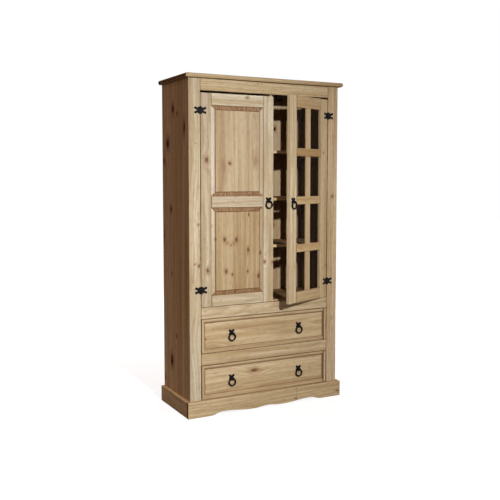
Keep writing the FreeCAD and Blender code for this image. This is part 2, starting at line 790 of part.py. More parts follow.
def catches():
    """Magnetic catches behind the top rail, and the strike plates on the doors that meet them."""
    catch_z = (opening_top - s.catch_below_rail, opening_top - s.catch_below_rail + s.catch_height)
    catch_y = (frame_back, frame_back + s.catch_depth)
    door_back = front + s.door_thickness
    strike_z = (door_z[1] - s.strike_drop - s.strike_height, door_z[1] - s.strike_drop)
    middles = {
        "left": left_door_x[1] - s.catch_from_edge - s.catch_length / 2,
        "right": right_door_x[0] + s.catch_from_edge + s.catch_length / 2,
    }
    blocks = []
    for hand, x in middles.items():
        catch_x = (x - s.catch_length / 2, x + s.catch_length / 2)
        blocks.append(box(f"{hand}_catch", catch_x, catch_y, catch_z))
        strike_x = (x - s.strike_length / 2, x + s.strike_length / 2)
        plate = box(f"{hand}_strike", strike_x, (door_back, door_back + s.strike_thickness), strike_z)
        keep(group(f"{hand}_door_strike", [plate]), ajar=hand == "right")
    keep(group("door_catches", blocks))


def check_and_write():
    """Stop on any failed object or bad shape, then write one file for each node."""
    doc.recompute()
    for item in doc.Objects:
        if {"Invalid", "Error"} & set(item.State):
            raise RuntimeError(f"{item.Label} failed: {item.State}")
    for item in nodes:
        if item.Shape.isNull() or not item.Shape.isValid() or not item.Shape.Solids:
            raise RuntimeError(f"{item.Label} has no valid solid")
    os.makedirs("parts", exist_ok=True)
    for item in nodes:
        item.Shape.exportStep(f"parts/{item.Label}.step")
    print(f"{len(nodes)} nodes, {sum(len(item.Shape.Solids) for item in nodes)} solids")


top_board()
carcass_boards()
front_plinth()
other_plinths()
back_boards()
shelves_and_battens()
left_door()
right_door()
drawer("lower", lower_opening)
drawer("upper", upper_opening)
drawer_runners()
hinges()
pulls()
catches()
check_and_write()
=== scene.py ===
import math

import bpy
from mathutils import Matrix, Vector


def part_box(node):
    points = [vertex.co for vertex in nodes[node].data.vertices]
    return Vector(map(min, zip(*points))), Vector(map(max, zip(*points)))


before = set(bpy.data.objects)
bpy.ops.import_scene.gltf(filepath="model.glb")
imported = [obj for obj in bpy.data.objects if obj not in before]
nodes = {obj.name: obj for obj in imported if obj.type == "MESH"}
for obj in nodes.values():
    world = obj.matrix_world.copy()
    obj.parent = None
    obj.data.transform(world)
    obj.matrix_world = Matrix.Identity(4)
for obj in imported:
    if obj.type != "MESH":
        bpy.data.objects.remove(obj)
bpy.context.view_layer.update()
scene = bpy.context.scene


def srgb(red, green, blue):
    """Scene-linear colour from screen values of 0 to 255."""
    linear = []
    for value in (red / 255, green / 255, blue / 255):
        linear.append(value / 12.92 if value <= 0.04045 else ((value + 0.055) / 1.055) ** 2.4)
    return (*linear, 1.0)


# Where the glazed door's pin stands, and how far the door is open at rest
DOOR_PIN = (0.4045, -0.3866, 0.0)
AJAR = math.radians(22)
# Ends of that door's rails and bars, with the door shut
GLAZED_RAILS = (0.107, 0.341)

# Colours of the wood: growth rings, sawn ends, knots, and wax that has darkened, whose colour also draws the
# line around a panel's field and the painted shade on a drawer bead's right bevel
PALE = srgb(213, 193, 156)
MIDDLE = srgb(173, 146, 103)
LATE = srgb(140, 106, 72)
END_DARK = srgb(120, 84, 54)
END_LIGHT = srgb(176, 143, 104)
KNOT_CORE = srgb(82, 44, 28)
KNOT_HEART = srgb(26, 14, 10)
KNOT_HALO = srgb(146, 92, 56)
STAIN_AND_SHADE = srgb(104, 62, 36)

# Colours of the fittings
IRON = srgb(6, 6, 7)
IRON_WORN = srgb(16, 15, 15)
IRON_RUBBED = srgb(46, 44, 42)
PLASTIC = srgb(20, 14, 11)
PLASTIC_PALE = srgb(27, 20, 15)
GLASS = srgb(40, 48, 45)
WHITE = (1.0, 1.0, 1.0, 1.0)

# Waves per metre of each noise in the wood: along the grain, across it and into the board
DRIFT = (0.9, 5.0, 5.0)
STREAKS = (1.1, 42.0, 42.0)
BROAD_STREAKS = (0.7, 8.0, 8.0)
FIBRES = (14.0, 520.0, 520.0)
PORES = (30.0, 900.0, 900.0)
PATCHES = (28.0, 70.0, 70.0)
RAGGED = (60.0, 120.0, 120.0)
MOTTLE = (40.0, 240.0, 60.0)

# Waves per metre of the noises in the fittings
DENTS = (260.0, 260.0, 260.0)
WEAR = (900.0, 900.0, 900.0)
GRIT = (1400.0, 1400.0, 1400.0)

# Growth rings: how many in a metre, how far they wander, in metres, how often and by how many rings their
# spacing shifts, and how many rings a knot pushes aside
RINGS = 170.0
WANDER = (0.0, 0.035, 0.05)
SPACING_WAVES = (1.0, 45.0, 1.0)
SPACING_SHIFT = 3.0
RING_BEND = 1.2
# Parts of a ring over which its late wood comes up and ends
LATE_RISE = (0.3, 0.85)
LATE_END = (1.0, 0.88)

# Levels of a noise between which streaks, fibres, pores and patches of wax come up, and how much they darken
STREAK_LEVELS = (0.34, 0.68)
FIBRE_LEVELS = (0.48, 0.78)
PORE_LEVELS = (0.62, 0.75)
PATCH_LEVELS = (0.5, 0.74)
MOTTLE_LEVELS = (0.36, 0.64)
LATE_SHARE = 0.3
FIBRE_SHARE = 0.55
PORE_SHARE = 0.35
PATCH_SHARE = 0.32

# A knot, in radii from its middle: where its core and halo begin and are full, and how ragged its outline is
CORE_EDGE = (1.3, 0.5)
HALO_EDGE = (2.6, 0.8)
KNOT_RAGGED = 0.9
# How fast the bent grain around a knot dies away
BEND_ALONG = 0.12
BEND_ACROSS = 0.3
# How much a knot's halo shows, and between which strengths its heart turns black, and how black
HALO_SHARE = 0.5
HEART_LEVELS = (0.92, 1.1)
HEART_SHARE = 0.85

# Where in its tree a board is cut: steps along the trunk, offset from the middle, and depth under the board's
# face of the tree's middle, in metres
TREE_STEP = 3.7
OFF_CENTRE = 0.11
PITH = 0.09
PITH_VARIETY = 0.5
# How much one board may be paler than another
BOARD_VARIETY = 0.03
# Steps of the sines that scatter boards across the tree, in depth and in tone
ACROSS_STEP = 2.3
DEPTH_STEP = 5.1
TONE_STEP = 1.9
# From one glued strip to the next: steps along the trunk and across it
STRIP_STEP = 2.13
STRIP_OFFSET = 0.39

# Tone of the two sides
SIDE_TONE = (1.1, 0.95, 0.88)
# What a face's colour is multiplied by: painted shade in a gap or inside the cabinet and on a door's back,
# the sides' tone on a stile's outer edge, a darker tone on the top's sawn ends, a painted glint on a panel's
# side slopes, painted light on a shelf's front edge and painted shade on its upper face
INSIDE_SHADE = (0.42, 0.34, 0.28, 1.0)
SHADE_BEHIND = (0.8, 0.73, 0.66, 1.0)
OUTER_EDGE = (*SIDE_TONE, 1.0)
WAXED_END = (0.6, 0.47, 0.38, 1.0)
SLOPE_GLINT = (1.24, 1.42, 1.75, 1.0)
WEAK_SLOPE_GLINT = (1.1, 1.16, 1.3, 1.0)
LIT_SHELF_EDGE = (1.3, 1.36, 1.42, 1.0)
SHADED_SHELF_TOP = (0.7, 0.64, 0.58, 1.0)

# Reflection levels: of wood and plastic that hardly shine, of waxed wood, of painted iron
DULL = 0.004
WAXED = 0.2
SATIN = 0.12
# Roughness of wood, iron and plastic, from and to
WOOD_ROUGHNESS = (0.4, 0.56)
IRON_ROUGHNESS = (0.42, 0.62)
PLASTIC_ROUGHNESS = (0.5, 0.62)
# The glass: its roughness, and how much of it shows
GLASS_ROUGHNESS = 0.03
GLASS_ALPHA = 0.035

# How far a face turns, as a part of its normal, to begin and to fully show end grain or a tint
FACE_TILTS = (0.6, 0.9)
SLOPE_TILTS = (0.1, 0.18)

# Rubbed arrises: their radius, and how well rounded and plain normal agree where one begins and is full
ARRIS = 0.0025
ARRIS_AGREE = (0.98, 0.8)
# Levels of the noise between which rubbing grows, and how much of it shows on wood and on iron
WOOD_RUB_LEVELS = (0.3, 0.62)
WOOD_RUB_SHARE = (0.15, 0.5)
IRON_RUB_LEVELS = (0.45, 0.65)
IRON_RUB_SHARE = (0.0, 0.6)

# Widths of the strips that panels, sides, top and shelves are glued from, and of the back's nine boards
PANEL_STRIP = 0.09
SIDE_STRIP = 0.092
TOP_STRIP = 0.1
SHELF_STRIP = 0.11
BACK_BOARD = 0.908 / 9

# A panel's bevel and the tongue beyond it, a drawer bead's flat rim and its bevel
PANEL_BEVEL = 0.024
PANEL_TONGUE = 0.007
BEAD_RIM = 0.012
BEAD_BEVEL = 0.009
# How far from its rear end a drawer box's wood belongs to its back
BOX_BACK = 0.0125
# Where two lengths of the plinth's front board are glued end to end
PLINTH_SEAM = 0.191

# Half the width of a dark line: of wax at a rail's end, around a panel's field, of wax along a drawer's bead,
# of painted shade on its right bevel, and of wax at the seam in the plinth
JOINT_WAX = 0.005
FIELD_LINE = 0.0032
BEAD_WAX = 0.004
BEVEL_SHADE = 0.0065
SEAM_WAX = 0.0012
# Part of that half width where the line is darkest, and how much it darkens there
WAX_FULL = 0.35
WAX_SHARE = 0.85
# Farther out than any board reaches
FAR = 5.0

# Axes along the grain, across it and into the board
FRONT_UPRIGHT = "zxy"
FRONT_LEVEL = "xzy"
SIDE_UPRIGHT = "zyx"
SIDE_LEVEL = "yzx"
FLAT_WIDE = "xyz"
FLAT_DEEP = "yxz"


class Graph:
    """Short way to write a node tree."""

    def __init__(self, tree):
        self.tree = tree

    def add(self, kind, inputs=(), **settings):
        node = self.tree.nodes.new(kind)
        for name, value in settings.items():
            setattr(node, name, value)
        for key, value in dict(inputs).items():
            self.feed(node.inputs[key], value)
        return node

    def feed(self, socket, value):
        if isinstance(value, bpy.types.NodeSocket):
            self.tree.links.new(value, socket)
        else:
            socket.default_value = value

    def math(self, operation, *values, clamp=False):
        node = self.add("ShaderNodeMath", enumerate(values), operation=operation, use_clamp=clamp)
        return node.outputs[0]

    def vector(self, operation, *values):
        node = self.add("ShaderNodeVectorMath", enumerate(values), operation=operation)
        return node.outputs["Vector"]

    def split(self, vector):
        return self.add("ShaderNodeSeparateXYZ", {0: vector}).outputs

    def join(self, *values):
        return self.add("ShaderNodeCombineXYZ", enumerate(values)).outputs[0]

    def noise(self, vector, stretch, detail=2.0, roughness=0.5, output="Fac"):
        """Noise drawn out differently along each axis."""
        scaled = self.vector("MULTIPLY", vector, stretch)
        inputs = {"Vector": scaled, "Scale": 1.0, "Detail": detail, "Roughness": roughness}
        return self.add("ShaderNodeTexNoise", inputs).outputs[output]

    def smooth(self, value, low, high, at_low=0.0, at_high=1.0):
        """Soft step of a value from one level to another."""
        inputs = {"Value": value, "From Min": low, "From Max": high, "To Min": at_low, "To Max": at_high}
        return self.add("ShaderNodeMapRange", inputs, interpolation_type="SMOOTHSTEP").outputs["Result"]

    def mix(self, factor, first, second, blend="MIX"):
        inputs = {"Factor": factor, 6: first, 7: second}
        node = self.add("ShaderNodeMix", inputs, data_type="RGBA", blend_type=blend)
        return node.outputs[2]

    def turn(self, vector, centre, angle):
        """Turn a vector about the upright axis through a centre."""
        inputs = {"Vector": vector, "Center": centre, "Angle": angle}
        return self.add("ShaderNodeVectorRotate", inputs, rotation_type="Z_AXIS").outputs[0]

    def bump(self, shader, height, strength, distance):
        """Relief on a shader's surface; distance in metres."""
        inputs = {"Strength": strength, "Distance": distance, "Height": height}
        self.feed(shader.inputs["Normal"], self.add("ShaderNodeBump", inputs).outputs[0])


def new_group(name, inputs, outputs):
    """Empty node group with its sockets; gives the group, its graph and its input sockets."""
    group = bpy.data.node_groups.new(name, "ShaderNodeTree")
    for direction, sockets in (("INPUT", inputs), ("OUTPUT", outputs)):
        for label, kind in sockets.items():
            group.interface.new_socket(label, in_out=direction, socket_type=f"NodeSocket{kind}")
    graph = Graph(group)
    return group, graph, graph.add("NodeGroupInput").outputs


def new_material(name):
    """Material, its graph and its shader."""
    material = bpy.data.materials.new(name)
    material.use_nodes = True
    return material, Graph(material.node_tree), material.node_tree.nodes["Principled BSDF"]


def knot_group():
    """How near a point of a board is to one knot: dark core, stained halo, bent grain around it."""
    inputs = {"Grain": "Vector", "Ragged": "Float", "Centre": "Vector", "Radius": "Float", "Stretch": "Float"}
    group, g, given = new_group("knot", inputs, {"Core": "Float", "Halo": "Float", "Bend": "Float"})
    along, across, _ = g.split(g.vector("SUBTRACT", given["Grain"], given["Centre"]))
    across = g.math("DIVIDE", across, given["Radius"])
    along = g.math("DIVIDE", along, g.math("MULTIPLY", given["Radius"], given["Stretch"]))
    along_squared = g.math("MULTIPLY", along, along)
    across_squared = g.math("MULTIPLY", across, across)
    ragged = g.math("MULTIPLY", g.math("SUBTRACT", given["Ragged"], 0.5), KNOT_RAGGED)
    away = g.math("ADD", g.math("SQRT", g.math("ADD", along_squared, across_squared)), ragged)
    wide = g.math("MULTIPLY", along_squared, BEND_ALONG)
    wide = g.math("ADD", wide, g.math("MULTIPLY", across_squared, BEND_ACROSS))
    outputs = {
        "Core": g.smooth(away, *CORE_EDGE),
        "Halo": g.smooth(away, *HALO_EDGE),
        "Bend": g.math("EXPONENT", g.math("MULTIPLY", wide, -1.0)),
    }
    g.add("NodeGroupOutput", outputs)
    return group


def figure_group():
    """Colour and surface of plain sawn pine: growth rings, streaks, fibres, pores, wax in patches."""
    outputs = {"Colour": "Color", "Height": "Float", "Fibre": "Float"}
    group, g, given = new_group("pine_figure", {"Grain": "Vector", "Bend": "Float"}, outputs)
    place = given["Grain"]
    drift = g.noise(place, DRIFT, 2.0, output="Color")
    drift = g.vector("MULTIPLY", g.vector("SUBTRACT", drift, (0.5, 0.5, 0.5)), WANDER)
    _, across, deep = g.split(g.vector("ADD", place, drift))
    ring = g.math("SQRT", g.math("ADD", g.math("MULTIPLY", across, across), g.math("MULTIPLY", deep, deep)))
    uneven = g.math("MULTIPLY", g.noise(g.join(0.0, ring, 0.0), SPACING_WAVES, 1.0), SPACING_SHIFT)
    phase = g.math("ADD", g.math("MULTIPLY", ring, RINGS), g.math("MULTIPLY", given["Bend"], RING_BEND))
    phase = g.math("FRACT", g.math("ADD", phase, uneven))
    late = g.math("MULTIPLY", g.smooth(phase, *LATE_RISE), g.smooth(phase, *LATE_END))
    streak = g.noise(place, STREAKS, 3.0, 0.6)
    broad = g.noise(place, BROAD_STREAKS, 1.0)
    fibre = g.noise(place, FIBRES, 2.0, 0.6)
    pores = g.noise(place, PORES, 1.0)
    patches = g.noise(place, PATCHES, 3.0, 0.65)
    blend = g.math("ADD", g.math("MULTIPLY", streak, 0.6), g.math("MULTIPLY", broad, 0.4))
    colour = g.mix(g.smooth(blend, *STREAK_LEVELS), PALE, MIDDLE)
    colour = g.mix(g.math("MULTIPLY", late, LATE_SHARE), colour, LATE)
    colour = g.mix(g.smooth(fibre, *FIBRE_LEVELS, 0.0, FIBRE_SHARE), colour, LATE)
    colour = g.mix(g.smooth(pores, *PORE_LEVELS, 0.0, PORE_SHARE), colour, STAIN_AND_SHADE)
    colour = g.mix(g.smooth(patches, *PATCH_LEVELS, 0.0, PATCH_SHARE), colour, LATE)
    height = g.math("SUBTRACT", g.math("MULTIPLY", late, 0.5), fibre)
    g.add("NodeGroupOutput", {"Colour": colour, "Height": height, "Fibre": fibre})
    return group


KNOT = knot_group()
FIGURE = figure_group()


def box_edge(g, along, across, rect):
    """Distance of a point on a face from the outline of a rectangle: below 0 inside it."""
    distances = []
    for value, (low, high) in zip((along, across), rect):
        offset = g.math("ABSOLUTE", g.math("SUBTRACT", value, (low + high) / 2))
        distances.append(g.math("SUBTRACT", offset, (high - low) / 2))
    return g.math("MAXIMUM", *distances)


def edge_mask(g):
    """1 on the arrises of a board or fitting, 0 on its flat faces."""
    rounded = g.add("ShaderNodeBevel", {"Radius": ARRIS}, samples=4).outputs["Normal"]
    plain = g.add("ShaderNodeNewGeometry").outputs["Normal"]
    agree = g.add("ShaderNodeVectorMath", {0: rounded, 1: plain}, operation="DOT_PRODUCT").outputs["Value"]
    return g.smooth(agree, *ARRIS_AGREE)


def crossed_wood(g, kind, along, across, spans):
    """1 on a mitred frame's side bars or on a box's back, whose grain lies across that of the rest."""
    if kind == "back":
        rear = spans[0][1]
        return g.math("GREATER_THAN", along, rear - BOX_BACK)
    margins = []
    for value, (low, high) in zip((along, across), spans):
        offset = g.math("ABSOLUTE", g.math("SUBTRACT", value, (low + high) / 2))
        margins.append(g.math("SUBTRACT", (high - low) / 2, offset))
    return g.math("LESS_THAN", *margins)


def place_in_tree(seed, middle):
    """Shift of a board's grain to a place of its own in the tree."""
    across = -middle + OFF_CENTRE * math.sin(seed * ACROSS_STEP)
    depth = PITH * (1 + PITH_VARIETY * math.sin(seed * DEPTH_STEP))
    return seed * TREE_STEP, across, depth


def knot_marks(g, grain, ragged, knots):
    """Core, halo and bent grain of all of a board's knots."""
    core, halo, bend = 0.0, 0.0, 0.0
    for along, across, radius, stretch, strength in knots:
        inputs = {"Grain": grain, "Ragged": ragged, "Centre": (along, across, 0.0), "Radius": radius,
                  "Stretch": stretch}
        knot = g.add("ShaderNodeGroup", inputs, node_tree=KNOT).outputs
        core = g.math("MAXIMUM", core, g.math("MULTIPLY", knot["Core"], strength))
        halo = g.math("MAXIMUM", halo, g.math("MULTIPLY", knot["Halo"], strength))
        bend = g.math("ADD", bend, knot["Bend"])
    return core, halo, bend


def pine(name, axes, seed, tone, knots=(), planks=None, turned=False, crossed="", tilts=FACE_TILTS, lines=(),
         tints=(), shine=WAXED):
    """Waxed pine for one node.

    axes: the row's axes along the grain, across it and into the board
    seed: which place in the tree it is cut from
    tone: what its colour is multiplied by; on the left-hand boards it also paints the sheen of waxed wood
    knots: (along, across, radius, stretch, strength) of each, in metres
    planks: width of the strips it is glued from
    turned: whether it is on the door that stands ajar
    crossed: wood with its grain across the rest: "mitred" for a frame's side bars, "back" for a box's back
    tilts: how far a face turns to begin and to fully show end grain or a tint
    lines: rectangles whose outlines get a dark line, each with half the line's width: wax at joints, a line
    around a panel's field, painted shade on a drawer bead's right bevel
    tints: colours that faces looking one way are multiplied by, under names such as "+x": mostly painted
    shade and painted light, and the tone of a stile's outer edge and of the top's sawn ends
    shine: level of its reflection
    """
    material, g, shader = new_material(name)
    source = g.add("ShaderNodeTexCoord").outputs
    place, normal = source["Object"], source["Normal"]
    if turned:
        place = g.turn(place, DOOR_PIN, -AJAR)
        normal = g.turn(normal, (0.0, 0.0, 0.0), -AJAR)
    order = ["xyz".index(letter) for letter in axes]
    parts = g.split(place)
    facing = g.split(normal)
    along, across, deep = (parts[k] for k in order)
    grain = g.join(along, across, deep)
    low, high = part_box(name)
    spans = [(low[k], high[k]) for k in order]
    tilt, side_tilt = (g.math("ABSOLUTE", facing[k]) for k in order[:2])
    if crossed:
        on_side = crossed_wood(g, crossed, along, across, spans)
        swapped = g.join(across, along, deep)
        grain = g.add("ShaderNodeMix", {0: on_side, 4: grain, 5: swapped}, data_type="VECTOR").outputs[1]
        tilt = g.add("ShaderNodeMix", {0: on_side, 2: tilt, 3: side_tilt}).outputs[0]
    middle = 0.0 if turned else sum(spans[1]) / 2
    local = g.vector("ADD", grain, place_in_tree(seed, middle))
    if planks:
        index = g.math("FLOOR", g.math("DIVIDE", across, planks))
        jump = g.join(g.math("MULTIPLY", index, STRIP_STEP), g.math("MULTIPLY", index, STRIP_OFFSET), 0.0)
        local = g.vector("ADD", local, jump)

    ragged = g.noise(grain, RAGGED, 1.0)
    core, halo, bend = knot_marks(g, grain, ragged, knots)
    figure = g.add("ShaderNodeGroup", {"Grain": local, "Bend": bend}, node_tree=FIGURE).outputs
    mottle = g.noise(grain, MOTTLE, 3.0, 0.7)
    end_colour = g.mix(g.smooth(mottle, *MOTTLE_LEVELS), END_DARK, END_LIGHT)
    colour = g.mix(g.smooth(tilt, *tilts), figure["Colour"], end_colour)
    if knots:
        colour = g.mix(g.math("MULTIPLY", halo, HALO_SHARE), colour, KNOT_HALO)
        colour = g.mix(g.math("MULTIPLY", core, core, clamp=True), colour, KNOT_CORE)
        colour = g.mix(g.smooth(core, *HEART_LEVELS, 0.0, HEART_SHARE), colour, KNOT_HEART)
    # Dark lines: wax at joints, a line around a panel's field, painted shade on a drawer bead's right bevel
    for rect, half_width in lines:
        near = g.math("ABSOLUTE", box_edge(g, along, across, rect))
        colour = g.mix(g.smooth(near, half_width, half_width * WAX_FULL, 0.0, WAX_SHARE), colour, STAIN_AND_SHADE)
    colour = g.mix(1.0, colour, (*tone, 1.0), "MULTIPLY")
    rubbed = g.math("MULTIPLY", edge_mask(g), g.smooth(ragged, *WOOD_RUB_LEVELS, *WOOD_RUB_SHARE))
    colour = g.mix(rubbed, colour, STAIN_AND_SHADE)
    # Painted shade and painted light on faces that look one way, and the tone of some edges and ends
    for way, tint in dict(tints).items():
        toward = g.math("MULTIPLY", facing["xyz".index(way[1])], float(way[0] + "1"))
        colour = g.mix(g.smooth(toward, *tilts), colour, g.mix(1.0, colour, tint, "MULTIPLY"))
    g.feed(shader.inputs["Base Color"], colour)
    g.feed(shader.inputs["Roughness"], g.smooth(figure["Fibre"], 0.2, 0.8, *WOOD_ROUGHNESS))
    shader.inputs["Specular IOR Level"].default_value = shine
    g.bump(shader, figure["Height"], strength=0.3, distance=0.0006)
    return material


def iron():
    """Black painted iron, a little uneven from the casting."""
    material, g, shader = new_material("black_iron")
    place = g.add("ShaderNodeTexCoord").outputs["Object"]
    dents = g.noise(place, DENTS, 3.0, 0.55)
    wear = g.noise(place, WEAR, 2.0)
    colour = g.mix(g.smooth(wear, 0.55, 0.8), IRON, IRON_WORN)
    rubbed = g.math("MULTIPLY", edge_mask(g), g.smooth(dents, *IRON_RUB_LEVELS, *IRON_RUB_SHARE))
    g.feed(shader.inputs["Base Color"], g.mix(rubbed, colour, IRON_RUBBED))
    g.feed(shader.inputs["Roughness"], g.smooth(dents, 0.3, 0.7, *IRON_ROUGHNESS))
    shader.inputs["Specular IOR Level"].default_value = SATIN
    g.bump(shader, dents, strength=0.4, distance=0.0008)
    return material


def glass():
    """Clear flat glass."""
    material, _, shader = new_material("clear_glass")
    shader.inputs["Base Color"].default_value = GLASS
    shader.inputs["Roughness"].default_value = GLASS_ROUGHNESS
    shader.inputs["Alpha"].default_value = GLASS_ALPHA
    return material


def plastic():
    """Dark brown moulded plastic of the catches."""
    material, g, shader = new_material("catch_plastic")
    place = g.add("ShaderNodeTexCoord").outputs["Object"]
    grit = g.noise(place, GRIT, 2.0)
    g.feed(shader.inputs["Base Color"], g.mix(grit, PLASTIC, PLASTIC_PALE))
    g.feed(shader.inputs["Roughness"], g.smooth(grit, 0.3, 0.7, *PLASTIC_ROUGHNESS))
    shader.inputs["Specular IOR Level"].default_value = DULL
    return material


# Knots of each board: millimetres along the grain, across it, radius, stretch along the grain, strength
KNOTS = {
    "left_front_stile": [
        (1485, -432, 4, 1.4, 0.5), (1050, -419, 6, 1.2, 0.7), (838, -442, 4, 1.2, 0.8),
        (827, -416, 6, 1.6, 0.9),
    ],
    "right_front_stile": [(1193, 441, 7, 1.2, 0.8), (1540, 452, 4, 1.4, 0.4), (470, 452, 9, 1.3, 0.2)],
    "top_front_rail": [(-58, 1817, 5, 1.4, 0.4)],
    "left_door_top_rail": [(-122, 1736, 6, 1.5, 0.8)],
    "left_door_hinge_stile": [
        (1396, -369, 12, 1.5, 0.85), (799, -364, 9, 1.6, 0.88), (971, -381, 4, 1.3, 0.6),
    ],
    "left_door_closing_stile": [(830, -12, 8, 1.4, 0.86), (825, 36, 6, 1.3, 0.8)],
    "left_door_upper_panel": [
        (1379, -229, 8, 1.1, 0.95), (1357, -266, 13, 2.4, 0.5), (1300, -270, 12, 2.2, 0.3),
        (1396, -72, 13, 2.4, 0.5),
    ],
    "left_door_lower_panel": [
        (963, -261, 9, 1.6, 0.86), (960, -189, 9, 1.6, 0.86), (931, -223, 6, 1.0, 0.75),
        (944, -245, 11, 1.0, 0.5), (943, -205, 11, 1.0, 0.5), (1097, -114, 5, 1.8, 0.9),
        (902, -117, 7, 2.2, 0.88), (788, -252, 9, 1.4, 0.86), (769, -214, 6, 1.2, 0.86),
        (783, -120, 5, 2.0, 0.9), (753, -51, 9, 1.7, 0.88), (882, -38, 7, 1.5, 0.88),
        (710, -53, 24, 1.5, 0.35), (1040, -339, 4, 1.2, 0.7), (967, -317, 5, 1.4, 0.8),
    ],
    "right_door_hinge_stile": [
        (1446, 366, 5, 1.3, 0.7), (1064, 379, 4, 1.5, 0.6), (771, 365, 4, 1.2, 0.6),
        (790, 393, 5, 1.4, 0.7),
    ],
    "right_door_closing_stile": [(820, 92, 4, 1.3, 0.4)],
    "upper_drawer_front": [(-376, 422, 4, 1.2, 0.8), (-340, 372, 16, 1.6, 0.2)],
    "lower_drawer_front": [(-75, 214, 12, 2.5, 0.85), (-71, 190, 9, 1.4, 0.25)],
    "front_plinth": [(185, 22, 5, 1.2, 0.8), (475, 30, 6, 1.7, 0.8)],
    "left_side_panel": [
        (1678, -163, 15, 1.7, 1.1), (1649, -224, 8, 1.6, 0.9), (1568, -321, 12, 3.2, 1.0),
        (1494, -83, 21, 1.4, 1.1), (1398, -27, 12, 1.8, 0.9), (1125, -127, 11, 1.9, 1.1),
        (972, -15, 9, 3.5, 0.9), (761, -131, 9, 1.3, 0.7), (415, -194, 8, 1.4, 0.9),
        (263, -123, 19, 1.9, 1.1), (139, -20, 9, 2.0, 0.7),
    ],
    "right_side_panel": [
        (1480, -120, 9, 1.8, 0.8), (1130, -270, 7, 1.5, 0.7), (690, -90, 9, 2.0, 0.8),
        (330, -230, 7, 1.6, 0.7),
    ],
    "top_board": [(-220, -150, 9, 1.6, 0.8), (280, -260, 7, 1.4, 0.8), (90, -90, 8, 1.8, 0.7)],
    "back_boards": [
        (1520, -350, 9, 1.5, 0.8), (900, -250, 9, 1.4, 0.8), (1250, -48, 8, 1.3, 0.7),
        (600, 60, 9, 1.5, 0.8), (1602, 262, 8, 1.7, 1.2), (1010, 255, 9, 1.6, 0.7),
        (300, 350, 9, 1.4, 0.8), (1380, 410, 7, 1.4, 0.7),
    ],
}
MILLI = 0.001

# Boards that are paler, browner or redder than the rest; the paler, bluer tones of the left-hand boards also
# paint the sheen of the waxed wood on the cabinet's left
TONES_AND_SHEEN = {
    "left_side_panel": SIDE_TONE,
    "right_side_panel": SIDE_TONE,
    "left_plinth": (0.98, 0.87, 0.8),
    "right_plinth": (0.98, 0.87, 0.8),
    "left_front_stile": (0.95, 1.03, 1.19),
    "right_front_stile": (1.07, 1.08, 1.16),
    "top_front_rail": (0.97, 0.98, 0.97),
    "middle_front_rail": (0.9, 0.91, 0.95),
    "drawer_divider_rail": (1.05, 1.08, 1.16),
    "left_door_hinge_stile": (0.91, 0.98, 1.13),
    "left_door_closing_stile": (1.08, 1.2, 1.43),
    "left_door_top_rail": (1.19, 1.37, 1.7),
    "left_door_middle_rail": (0.92, 0.99, 1.16),
    "left_door_bottom_rail": (1.0, 1.1, 1.3),
    "left_door_upper_panel": (0.94, 0.95, 1.01),
    "left_door_lower_panel": (0.81, 0.79, 0.76),
    "right_door_closing_stile": (1.1, 1.17, 1.27),
    "right_door_cross_bars": (0.88, 0.79, 0.66),
    "right_door_bottom_rail": (0.94, 0.9, 0.85),
    "right_door_top_rail": (0.94, 0.9, 0.85),
    "back_boards": (1.02, 1.0, 1.05),
    "shelves": (0.86, 0.8, 0.74),
    "cupboard_floor": (0.78, 0.72, 0.66),
}
PLAIN = (1.0, 1.0, 1.0)


def knots_of(node):
    """A board's knots in metres."""
    return [(u * MILLI, v * MILLI, radius * MILLI, *rest) for u, v, radius, *rest in KNOTS.get(node, ())]


def upright_lines(left, right, half_width):
    """Dark wax in two upright lines across a level board."""
    return [(((left, right), (-FAR, FAR)), half_width)]


def end_lines(node):
    """Dark wax where a rail's two ends butt against its neighbours."""
    low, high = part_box(node)
    return upright_lines(low.x, high.x, JOINT_WAX)


def panel_lines(node):
    """Dark line in the step around a raised panel's field."""
    low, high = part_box(node)
    inset = PANEL_BEVEL + PANEL_TONGUE
    return [(((low.z + inset, high.z - inset), (low.x + inset, high.x - inset)), FIELD_LINE)]


def bead_lines(bead):
    """Dark wax along the inner edge of a drawer's bead."""
    low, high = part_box(bead)
    inset = BEAD_RIM + BEAD_BEVEL
    return [(((low.x + inset, high.x - inset), (low.z + inset, high.z - inset)), BEAD_WAX)]


def bevel_shade_lines(bead):
    """Painted shade on the bevel at a drawer's right end, which faces the left."""
    _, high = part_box(bead)
    return upright_lines(-FAR, high.x - BEAD_RIM - BEAD_BEVEL / 2, BEVEL_SHADE)


def painted_shade(ways):
    """Painted shade on the faces that look in some ways, such as "+x -z", into the cabinet or into a gap."""
    return {way: INSIDE_SHADE for way in ways.split()}


# Painted shade on the back of a door, which faces the dark inside of the cabinet
DOOR_BACK_SHADE = {"+y": SHADE_BEHIND}
# Painted shade on the faces of a drawer front and its bead in the gaps around them
SHADE_IN_GAPS = painted_shade("+x -x +z -z")


